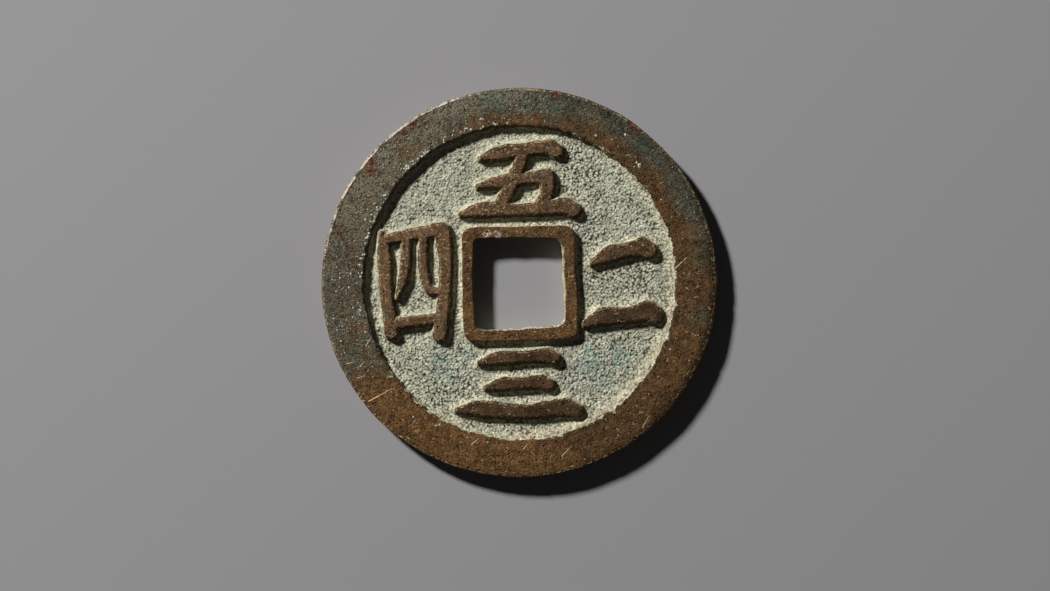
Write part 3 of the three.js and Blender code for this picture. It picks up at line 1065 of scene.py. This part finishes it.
def pitted_bronze_group():
    """Worn cast bronze: cloudy tarnish, fine grain, scattered dark pits and bright glints. The grain is
    painted as sheen on its high spots and darker on its low ones, the glints are painted glints, partly tiny
    scratches, and the tarnish mask brings painted shade.
    """
    sheet, given = new_group(
        "Pitted bronze",
        {
            "Place": "vector", "Bronze": "colour", "Dark": "colour", "Bright": "colour",
            "Tarnish and shade": "number", "Contrast": "number",
        },
        {"Color": "colour", "Roughness": "number", "Height": "number"},
    )
    place, dark, bright, contrast = (given[name] for name in ("Place", "Dark", "Bright", "Contrast"))
    clouds = sheet.clouds(place, 1.3, 0.38, 0.66, detail=4.0)
    # The tarnish mask brings painted shade from the rim's edges, so this darkening is partly painted shade.
    dirt_and_shade = sheet.times(clouds, 0.28, sheet.times(given["Tarnish and shade"], 0.75), clamp=True)
    grain = sheet.noise(place, 0.1, 3.0)
    mottles = sheet.clouds(place, 0.45, 0.4, 0.6, 0.68, 1.34)
    colour = sheet.scaled(sheet.blend(dirt_and_shade, given["Bronze"], dark), mottles)
    # Painted sheen: the grain's high spots are blended towards the bright colour, and its low ones are
    # darkened.
    gleam = sheet.times(sheet.times(dirt_and_shade, -0.18, 0.34), contrast)
    gleaming = sheet.blend(gleam, colour, bright)
    shaded = sheet.scaled(colour, sheet.maths("SUBTRACT", 1.02, contrast))
    colour = sheet.blend(sheet.ease(grain, 0.38, 0.62), shaded, gleaming)
    pits = sheet.dots(place, 0.21, 0.45, sheet.times(clouds, 0.2, 0.08))
    colour = sheet.blend(sheet.times(pits, 0.95), colour, sheet.scaled(dark, 0.4))
    # Painted glints: bright specks and short streaks, partly tiny scratches of bare metal.
    glints = sheet.dots(place, 0.19, 0.38, 0.07)
    for turn in (0.6, 1.4, 2.3):
        glints = sheet.larger(glints, sheet.dots(sheet.stretched(place, turn, 0.2), 0.17, 0.3, 0.035))
    colour = sheet.blend(sheet.times(glints, 0.72), colour, bright)
    roughness = sheet.times(grain, 0.3, 0.32)
    height = sheet.times(pits, -0.6, grain)
    return finish_group(sheet, {"Color": colour, "Roughness": roughness, "Height": height})


def sandy_crust_group():
    """Mineral crust: packed grains with dark hollows, cloudy between its two colours. The colour is lighter
    on the grains and dark in the hollows between them: partly dark mineral, partly painted shade.
    """
    sheet, given = new_group(
        "Sandy crust",
        {
            "Place": "vector", "Crust": "colour", "Cream": "colour", "Pits": "colour",
            "Cream share": "number", "Hollow": "number", "Pitting": "number", "Grain": "number",
        },
        {"Color": "colour", "Height": "number"},
    )
    place, cream, pitting = (given[name] for name in ("Place", "Cream share", "Pitting"))
    fine = sheet.scaled(place, sheet.maths("DIVIDE", 1.0, given["Grain"]))
    cells = sheet.add("ShaderNodeTexVoronoi", {"Vector": fine, "Scale": 0.9}).outputs["Distance"]
    relief = sheet.times(sheet.times(sheet.times(cells, cells), -1.3, 1.0), 0.5, sheet.noise(fine, 0.8))
    share = sheet.times(sheet.clouds(place, 1.4, 0.35, 0.65, detail=3.0), 0.3, cream, clamp=True)
    colour = sheet.blend(share, given["Crust"], given["Cream"])
    rough_areas = sheet.clouds(place, 2.2, 0.38, 0.56)
    calm = sheet.larger(sheet.times(cream, 0.4, clamp=True), sheet.times(rough_areas, -0.5, 0.5))
    # Partly painted shade: the crust is lighter on its grains and darker between them.
    tone = sheet.ease(relief, 0.6, 1.15, 0.6, 1.36)
    tone = sheet.times(calm, sheet.maths("SUBTRACT", 1.08, tone), tone)
    tone = sheet.times(sheet.maths("SUBTRACT", tone, 0.95), sheet.times(pitting, 0.5), tone)
    tone = sheet.times(tone, sheet.clouds(place, 0.7, 0.35, 0.65, 0.86, 1.14))
    tone = sheet.times(tone, sheet.times(sheet.dots(fine, 1.0, 0.5, 0.16), 0.45, 0.97))
    colour = sheet.scaled(colour, tone)
    depth = sheet.times(sheet.noise(fine, 3.2), 0.6, relief)
    # Dark in the hollows: partly dark mineral, partly painted shade.
    low = sheet.ease(sheet.times(pitting, -0.1, depth), 0.71, 0.85, 0.95, 0.0)
    pits = sheet.larger(sheet.times(low, sheet.times(cream, -0.5, 1.0)), given["Hollow"], clamp=True)
    pits = sheet.times(pits, sheet.times(rough_areas, 0.55, 0.45))
    colour = sheet.blend(pits, colour, given["Pits"])
    return finish_group(sheet, {"Color": colour, "Height": sheet.maths("SUBTRACT", depth, pits)})


def ragged_mask_group():
    """A mask broken into ragged spots: coarse and fine noise are added to it before it is cut.

    Where the mask is near 0 or 1 the spots thin out or close up. Softness is the width of the cut.
    """
    sheet, given = new_group(
        "Ragged mask",
        {"Place": "vector", "Mask": "number", "Size": "number", "Raggedness": "number", "Softness": "number"},
        {"Mask": "number"},
    )
    fine = sheet.scaled(given["Place"], sheet.maths("DIVIDE", 1.0, given["Size"]))
    noise = sheet.times(sheet.noise(fine, 0.3), 0.6, sheet.noise(fine, 1.0, 3.0))
    shift = sheet.times(sheet.maths("SUBTRACT", noise, 0.8), given["Raggedness"])
    low, high = (sheet.times(given["Softness"], half, 0.5) for half in (-0.5, 0.5))
    cut = sheet.ease(sheet.maths("ADD", given["Mask"], shift), low, high)
    reach = sheet.maths("GREATER_THAN", given["Mask"], 0.02)
    return finish_group(sheet, {"Mask": sheet.times(cut, reach)})


def scratch_group():
    """A straight scratch: 1 on the line from its start to its end, falling to 0 at its half width.

    It narrows towards its end.
    """
    sheet, given = new_group(
        "Scratch",
        {"Place": "vector", "Start": "vector", "End": "vector", "Half width": "number"},
        {"Mask": "number"},
    )
    flat = sheet.vector("MULTIPLY", given["Place"], (1.0, 1.0, 0.0))
    reach = sheet.vector("SUBTRACT", given["End"], given["Start"])
    offset = sheet.vector("SUBTRACT", flat, given["Start"])
    length = sheet.vector("DOT_PRODUCT", reach, reach, "Value")
    along = sheet.maths("DIVIDE", sheet.vector("DOT_PRODUCT", offset, reach, "Value"), length, clamp=True)
    away = sheet.vector("DISTANCE", offset, sheet.scaled(reach, along), "Value")
    narrowing = sheet.times(given["Half width"], sheet.times(along, -0.7, 1.1))
    mask = sheet.ease(sheet.maths("DIVIDE", away, narrowing), 0.3, 1.0, 1.0, 0.0)
    return finish_group(sheet, {"Mask": mask})


GROUP_MAKERS = {
    "Pitted bronze": pitted_bronze_group,
    "Sandy crust": sandy_crust_group,
    "Ragged mask": ragged_mask_group,
    "Scratch": scratch_group,
}


def rgba(colour):
    return (*colour, 1.0)


def new_material(name):
    """A material with an empty tree: the material and its sheet."""
    material = bpy.data.materials.new(name)
    material.use_nodes = True
    material.node_tree.nodes.clear()
    return material, NodeSheet(material.node_tree)


def close_material(sheet, colour, roughness, metallic, height, bump, specular):
    """The surface shader, with the height as a bump of that depth in metres."""
    normal = sheet.add("ShaderNodeBump", {"Height": height, "Distance": bump, "Strength": 1.0}).outputs[0]
    shader = sheet.add("ShaderNodeBsdfPrincipled", {
        "Base Color": colour,
        "Roughness": roughness,
        "Metallic": metallic,
        "Normal": normal,
        "Specular IOR Level": specular,
    })
    sheet.add("ShaderNodeOutputMaterial", {"Surface": shader.outputs[0]})


def sandy_crust(sheet, place, colours, cream, hollow, pitting, grain):
    """The colour and height of the crust, where the last four are masks or numbers."""
    return sheet.group("Sandy crust", {
        "Place": place,
        "Crust": rgba(colours.crust),
        "Cream": rgba(colours.cream_crust),
        "Pits": rgba(colours.crust_pits),
        "Cream share": cream,
        "Hollow": hollow,
        "Pitting": pitting,
        "Grain": grain,
    })


def coated_bronze_material(name, colours, bronze_colour, contrast, scratches=()):
    """Worn bronze under film, green and red corrosion, rubbed edges and scratches, crust and specks, with the
    painted highlights and painted shade that the masks bring.
    """
    material, sheet = new_material(name)
    place = sheet.millimetre_place()
    # The tarnish mask: tarnish, and on the rim also painted shade along the edges.
    tarnish_and_shade = sheet.mask("tarnish_and_shade")
    bronze = sheet.group("Pitted bronze", {
        "Place": place,
        "Bronze": rgba(bronze_colour),
        "Dark": rgba(colours.dark_bronze),
        "Bright": rgba(colours.bright_bronze_and_glint),
        "Tarnish and shade": tarnish_and_shade,
        "Contrast": contrast,
    })
    crust = sandy_crust(sheet, place, colours, 0.6, 0.0, 0.3, 0.14)

    def spots(mask, size, raggedness, softness, strength):
        inputs = {"Mask": sheet.mask(mask), "Size": size, "Raggedness": raggedness, "Softness": softness}
        return sheet.times(sheet.group("Ragged mask", {"Place": place, **inputs})[0], strength)

    film = spots("film", 0.42, 1.8, 0.9, 0.88)
    red = spots("red", 0.28, 3.2, 0.3, 0.75)
    film_grain = sheet.times(sheet.noise(place, 0.3), 0.4, sheet.noise(place, 0.085, 3.0))
    film_pits = sheet.times(sheet.dots(place, 0.26, 0.5, 0.16), -0.7, 1.05)
    film_grain = sheet.times(sheet.ease(film_grain, 0.56, 0.84, 0.32, 1.75), film_pits)
    # The film is darkened where the tarnish mask is: partly tarnish, partly painted shade.
    tarnished_and_shaded_grain = sheet.times(film_grain, sheet.times(tarnish_and_shade, -0.6, 1.0))
    colour = sheet.blend(film, bronze["Color"], sheet.scaled(colours.film, tarnished_and_shaded_grain))
    green = spots("green", 0.2, 3.6, 0.5, 0.45)
    colour = sheet.blend(green, colour, sheet.scaled(colours.green, tarnished_and_shaded_grain))
    colour = sheet.blend(red, colour, sheet.scaled(colours.red, film_grain))

    # Rubbed edges and scratches, and on the numerals partly a painted highlight.
    rubbed_and_highlight = spots("rubbed_and_highlight", 0.2, 3.0, 0.4, 0.7)
    for start_x, start_y, end_x, end_y, half_width in scratches:
        scratch = sheet.group("Scratch", {
            "Place": place,
            "Start": (start_x, start_y, 0.0),
            "End": (end_x, end_y, 0.0),
            "Half width": half_width,
        })[0]
        rubbed_and_highlight = sheet.larger(rubbed_and_highlight, scratch)
    colour = sheet.blend(rubbed_and_highlight, colour, rgba(colours.bright_bronze_and_glint))
    # Painted highlight on the edges facing the lamp, and bright bare metal on the border.
    colour = sheet.blend(spots("highlight_and_bare_metal", 0.3, 2.0, 0.5, 0.9), colour, rgba(colours.highlight_and_bare_metal))

    speckled = sheet.mask("specks")
    specks = sheet.times(sheet.clouds(place, 0.17, 0.64, 0.72), speckled)
    fine_specks = sheet.dots(place, 0.15, 0.5, sheet.times(speckled, 0.25))
    specks = sheet.larger(specks, sheet.times(fine_specks, 0.7))
    coated = sheet.larger(spots("crust", 0.15, 1.8, 0.45, 1.0), specks)
    colour = sheet.blend(coated, colour, crust["Color"])
    colour = sheet.blend(spots("yellow", 0.2, 2.4, 0.5, 0.6), colour, rgba(colours.yellow))

    coat = sheet.larger(sheet.larger(film, coated), red)
    metallic = sheet.ease(coat, 0.0, 1.0, 0.25, 0.0)
    roughness = sheet.add("ShaderNodeMix", {0: coat, 2: bronze["Roughness"], 3: 0.85}).outputs[0]
    height = sheet.times(rubbed_and_highlight, -0.5, sheet.times(coated, crust["Height"], bronze["Height"]))
    close_material(sheet, colour, roughness, metallic, height, 0.075 * MM, 0.05)
    return material


def crust_material(name, colours, grain):
    """The field's crust: grey-green grains, cream near the walls, dark hollows and teal grains.

    Bronze shows through where the crust is thin.
    """
    material, sheet = new_material(name)
    place = sheet.millimetre_place()
    cream, hollow, pitting, thin, teal = map(sheet.mask, ("cream", "hollow", "pitted", "thin", "teal"))
    crust = sandy_crust(sheet, place, colours, cream, hollow, pitting, grain)
    worn_through = sheet.times(thin, sheet.clouds(place, 0.25, 0.35, 0.65, 0.1, 0.6))
    colour = sheet.blend(worn_through, crust["Color"], rgba(colours.numeral_bronze))
    tint = sheet.times(teal, sheet.clouds(place, 0.4, 0.4, 0.6, 0.05, 0.35))
    colour = sheet.blend(tint, colour, sheet.scaled(colours.teal, 0.55))
    teal_grains = sheet.dots(place, 0.26, 0.5, sheet.times(teal, 0.5))
    colour = sheet.blend(sheet.times(teal_grains, 0.7), colour, rgba(colours.teal))
    close_material(sheet, colour, 0.92, 0.0, crust["Height"], 0.085 * MM, 0.06)
    return material


def speck_material(name, colours):
    """Pale mineral, here and there dull and dark."""
    material, sheet = new_material(name)
    place = sheet.millimetre_place()
    clouds = sheet.clouds(place, 0.5, 0.4, 0.6)
    colour = sheet.blend(clouds, sheet.scaled(colours.cream_crust, 0.4), rgba(colours.pale_mineral))
    close_material(sheet, colour, 0.8, 0.0, sheet.noise(place, 0.05), 0.01 * MM, 0.3)
    return material


# Operators


def coin_settings(context):
    return context.scene.coin_sizes, context.scene.coin_colours


class COIN_OT_outer_rim(bpy.types.Operator):
    """Make the broad worn rim with its film, stains and scratches"""

    bl_idname = "coin.outer_rim"
    bl_label = "Outer rim"

    def execute(self, context):
        sizes, colours = coin_settings(context)
        material = coated_bronze_material("filmed_bronze", colours, colours.bronze, 0.4, SCRATCHES)
        place_piece(outer_rim_mesh(sizes), material, "rim_bronze", "outer_rim")
        return {"FINISHED"}


class COIN_OT_inner_rim(bpy.types.Operator):
    """Make the narrow worn border of the square hole"""

    bl_idname = "coin.inner_rim"
    bl_label = "Border of the hole"

    def execute(self, context):
        sizes, colours = coin_settings(context)
        material = coated_bronze_material("border_bronze", colours, colours.bronze, 0.4)
        place_piece(inner_rim_mesh(sizes), material, "rim_bronze", "inner_rim")
        return {"FINISHED"}


class COIN_OT_field(bpy.types.Operator):
    """Make the crusted field and the plain reverse"""

    bl_idname = "coin.field"
    bl_label = "Field and reverse"

    def execute(self, context):
        sizes, colours = coin_settings(context)
        material = crust_material("field_crust", colours, millimetres(sizes.grain))
        for mesh in (field_crust_mesh(sizes), reverse_web_mesh(sizes)):
            place_piece(mesh, material, "crusted_field", "field_web")
        return {"FINISHED"}


class COIN_OT_numerals(bpy.types.Operator):
    """Make the raised numerals from the moves of the brush"""

    bl_idname = "coin.numerals"
    bl_label = "Numerals"

    def execute(self, context):
        _, colours = coin_settings(context)
        material = coated_bronze_material("relief_bronze", colours, colours.numeral_bronze, 0.3)
        for number, (node, moves) in enumerate(NUMERALS.items()):
            mesh = numeral_mesh("worn_" + node, moves, 100 + 20 * number)
            place_piece(mesh, material, "numeral_bronze", node)
        return {"FINISHED"}


class COIN_OT_specks(bpy.types.Operator):
    """Scatter small mineral specks over the rim"""

    bl_idname = "coin.specks"
    bl_label = "Mineral specks"

    def execute(self, context):
        sizes, colours = coin_settings(context)
        place_piece(speck_mesh(sizes), speck_material("pale_mineral", colours), "crusted_field")
        return {"FINISHED"}


class COIN_OT_studio(bpy.types.Operator):
    """Make the floor, the lamp, the even fill and the camera"""

    bl_idname = "coin.studio"
    bl_label = "Studio"

    def execute(self, context):
        studio = context.scene.coin_studio
        make_floor(studio)
        make_lamp("lamp", studio.lamp_elevation, studio.lamp_strength)
        make_lamp("lower_lamp", studio.lower_lamp_elevation, studio.lamp_strength)
        make_world(studio)
        make_camera(studio, context.scene.coin_sizes)
        context.scene.view_settings.view_transform = "Standard"
        return {"FINISHED"}


def make_floor(studio):
    """A wide plain sheet under the coin. It is clear from below and lets the lower lamp's light through."""
    half = FLOOR_WIDTH / 2
    corners = [(-half, -half, 0), (half, -half, 0), (half, half, 0), (-half, half, 0)]
    mesh = bpy.data.meshes.new("floor")
    mesh.from_pydata(corners, [], [(0, 1, 2, 3)])
    floor = new_object("floor", mesh)
    material, sheet = new_material("floor")
    paper = sheet.add("ShaderNodeBsdfDiffuse", {"Color": rgba(studio.floor_colour)}).outputs[0]
    clear = sheet.add("ShaderNodeBsdfTransparent").outputs[0]
    behind = sheet.add("ShaderNodeNewGeometry").outputs["Backfacing"]
    shadow = sheet.add("ShaderNodeLightPath").outputs["Is Shadow Ray"]
    see_through = sheet.larger(behind, shadow)
    surface = sheet.add("ShaderNodeMixShader", {0: see_through, 1: paper, 2: clear}).outputs[0]
    sheet.add("ShaderNodeOutputMaterial", {"Surface": surface})
    mesh.materials.append(material)


def make_lamp(name, elevation, strength):
    """A round lamp at the upper left, above or below the floor, in which a white sheet looks that bright."""
    flat = math.cos(elevation) * math.sqrt(0.5)
    towards = np.array([-flat, flat, math.sin(elevation)])
    lamp = bpy.data.lights.new(name, "AREA")
    lamp.shape = "DISK"
    lamp.size = LAMP_WIDTH
    lamp.energy = strength * math.pi**2 * LAMP_DISTANCE**2 / abs(math.sin(elevation))
    holder = new_object(name, lamp)
    holder.location = towards * LAMP_DISTANCE
    holder.rotation_mode = "QUATERNION"
    holder.rotation_quaternion = Vector(towards).to_track_quat("Z", "Y")


def make_world(studio):
    """An even pale surround: it lights the coin a little, and the camera and gloss see a pale backdrop."""
    world = bpy.data.worlds.new("surround")
    world.use_nodes = True
    world.node_tree.nodes.clear()
    sheet = NodeSheet(world.node_tree)
    rays = sheet.add("ShaderNodeLightPath").outputs
    seen = sheet.larger(rays["Is Camera Ray"], rays["Is Transmission Ray"])
    seen = sheet.larger(seen, rays["Is Glossy Ray"])
    strength = sheet.ease(seen, 0.0, 1.0, studio.fill_strength, studio.backdrop_strength)
    surround = sheet.add("ShaderNodeBackground", {"Color": (1.0, 1.0, 1.0, 1.0), "Strength": strength})
    sheet.add("ShaderNodeOutputWorld", {"Surface": surround.outputs[0]})
    bpy.context.scene.world = world


def make_camera(studio, sizes):
    """A camera straight above, a little off the coin's middle, as the photograph was taken."""
    lens, sensor = 85.0, 36.0
    aim_x, aim_y = 0.34 * MM, -0.8 * MM
    camera = bpy.data.cameras.new("camera")
    camera.lens = lens
    camera.sensor_width = sensor
    camera.clip_start = 5 * MM
    holder = new_object("camera", camera)
    holder.location = (aim_x, aim_y, sizes.thickness + studio.frame_width * lens / sensor)
    bpy.context.scene.camera = holder


MAKERS = [
    COIN_OT_outer_rim,
    COIN_OT_inner_rim,
    COIN_OT_field,
    COIN_OT_numerals,
    COIN_OT_specks,
    COIN_OT_studio,
]


class COIN_PT_workshop(bpy.types.Panel):
    """The workshop's operators and settings, in the 3D view's sidebar."""

    bl_label = "Cash coin workshop"
    bl_space_type = "VIEW_3D"
    bl_region_type = "UI"
    bl_category = "Cash Coin"

    def draw(self, context):
        for maker in MAKERS:
            self.layout.operator(maker.bl_idname)
        for settings in (context.scene.coin_sizes, context.scene.coin_colours, context.scene.coin_studio):
            box = self.layout.box()
            for name in settings.bl_rna.properties.keys():
                if name not in ("rna_type", "name"):
                    box.prop(settings, name)


CLASSES = [CoinSizes, CoinColours, CoinStudio, *MAKERS, COIN_PT_workshop]


def register():
    for cls in CLASSES:
        bpy.utils.register_class(cls)
    bpy.types.Scene.coin_sizes = bpy.props.PointerProperty(type=CoinSizes)
    bpy.types.Scene.coin_colours = bpy.props.PointerProperty(type=CoinColours)
    bpy.types.Scene.coin_studio = bpy.props.PointerProperty(type=CoinStudio)


def unregister():
    del bpy.types.Scene.coin_studio
    del bpy.types.Scene.coin_colours
    del bpy.types.Scene.coin_sizes
    for cls in reversed(CLASSES):
        bpy.utils.unregister_class(cls)


def main():
    register()
    bpy.ops.coin.outer_rim()
    bpy.ops.coin.inner_rim()
    bpy.ops.coin.field()
    bpy.ops.coin.numerals()
    bpy.ops.coin.specks()
    bpy.ops.coin.studio()


if __name__ == "__main__":
    main()
